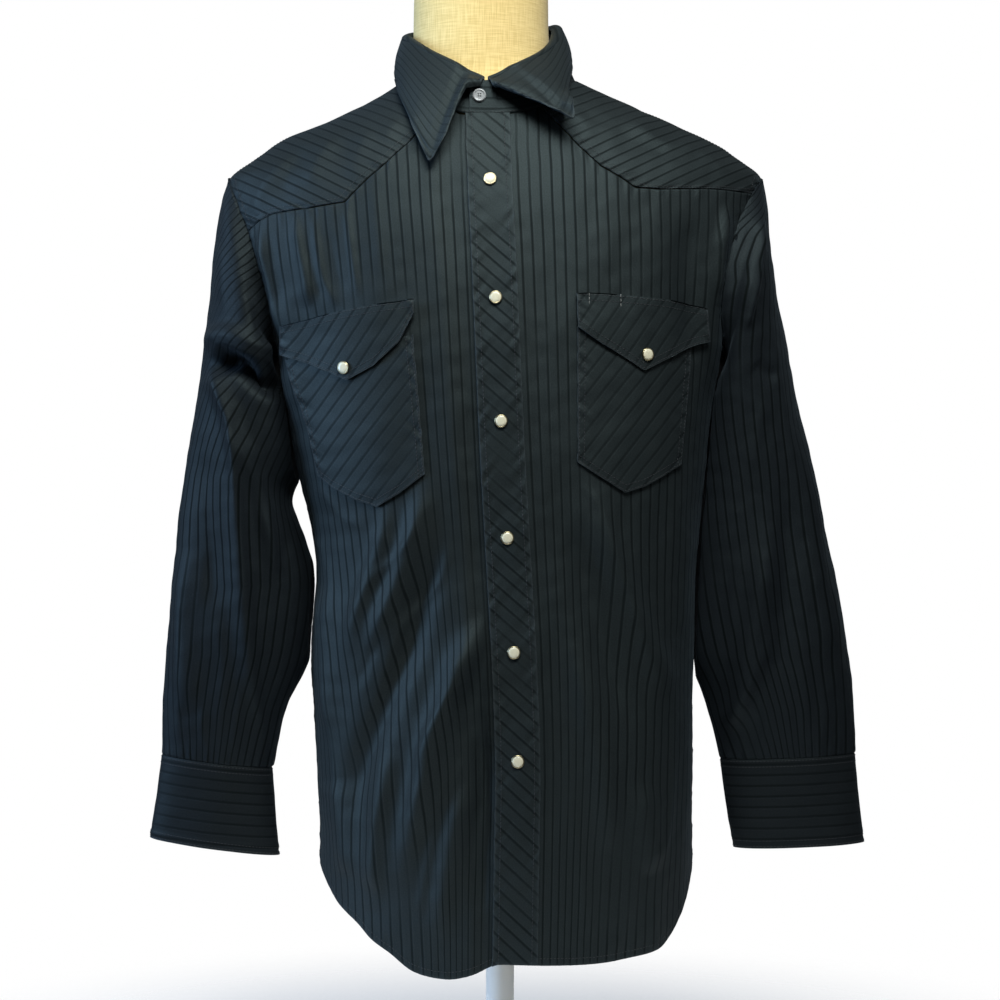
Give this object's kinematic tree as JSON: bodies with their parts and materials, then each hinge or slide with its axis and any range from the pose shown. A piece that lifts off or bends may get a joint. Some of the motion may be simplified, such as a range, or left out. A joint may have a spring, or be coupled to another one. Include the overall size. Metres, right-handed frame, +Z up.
{
  "type": "western snap shirt on dress form",
  "caption": "Dark striped long-sleeved western shirt with pointed yokes, flap pockets and pearl snaps, closed on a limbless linen dress form that stands on a pole and round base.",
  "frame": {"origin": "on the floor, at the middle of the underside of the base", "axes": "+Z up, -Y out of the front of the shirt, +X towards the left side of the wearer"},
  "size_m": [0.6426, 0.3012, 1.019],
  "materials": {
    "shirt_cloth": "satin stripe, woven",
    "pearl_snap": "pearl in a thin metal rim",
    "collar_button": "polished",
    "form_linen": "plain linen weave",
    "stand_paint": "satin white"
  },
  "bodies": {
    "root": {"back": "shirt_cloth", "collar_button": "collar_button", "collar_leaf": "shirt_cloth", "collar_stand": "shirt_cloth", "cuff_left": "shirt_cloth", "cuff_right": "shirt_cloth", "flap_left": "shirt_cloth", "flap_right": "shirt_cloth", "form_base": "stand_paint", "form_pole": "stand_paint", "form_torso": "form_linen", "front_left": "shirt_cloth", "front_placket": "shirt_cloth", "front_right": "shirt_cloth", "pocket_left": "shirt_cloth", "pocket_right": "shirt_cloth", "sleeve_left": "shirt_cloth", "sleeve_placket_left": "shirt_cloth", "sleeve_placket_right": "shirt_cloth", "sleeve_right": "shirt_cloth", "snap_cuff_left_1": "pearl_snap", "snap_cuff_left_2": "pearl_snap", "snap_cuff_left_3": "pearl_snap", "snap_cuff_right_1": "pearl_snap", "snap_cuff_right_2": "pearl_snap", "snap_cuff_right_3": "pearl_snap", "snap_flap_left": "pearl_snap", "snap_flap_right": "pearl_snap", "snap_front_1": "pearl_snap", "snap_front_2": "pearl_snap", "snap_front_3": "pearl_snap", "snap_front_4": "pearl_snap", "snap_front_5": "pearl_snap", "snap_front_6": "pearl_snap", "yoke_back": "shirt_cloth", "yoke_front_left": "shirt_cloth", "yoke_front_right": "shirt_cloth"}
  },
  "joints": []
}
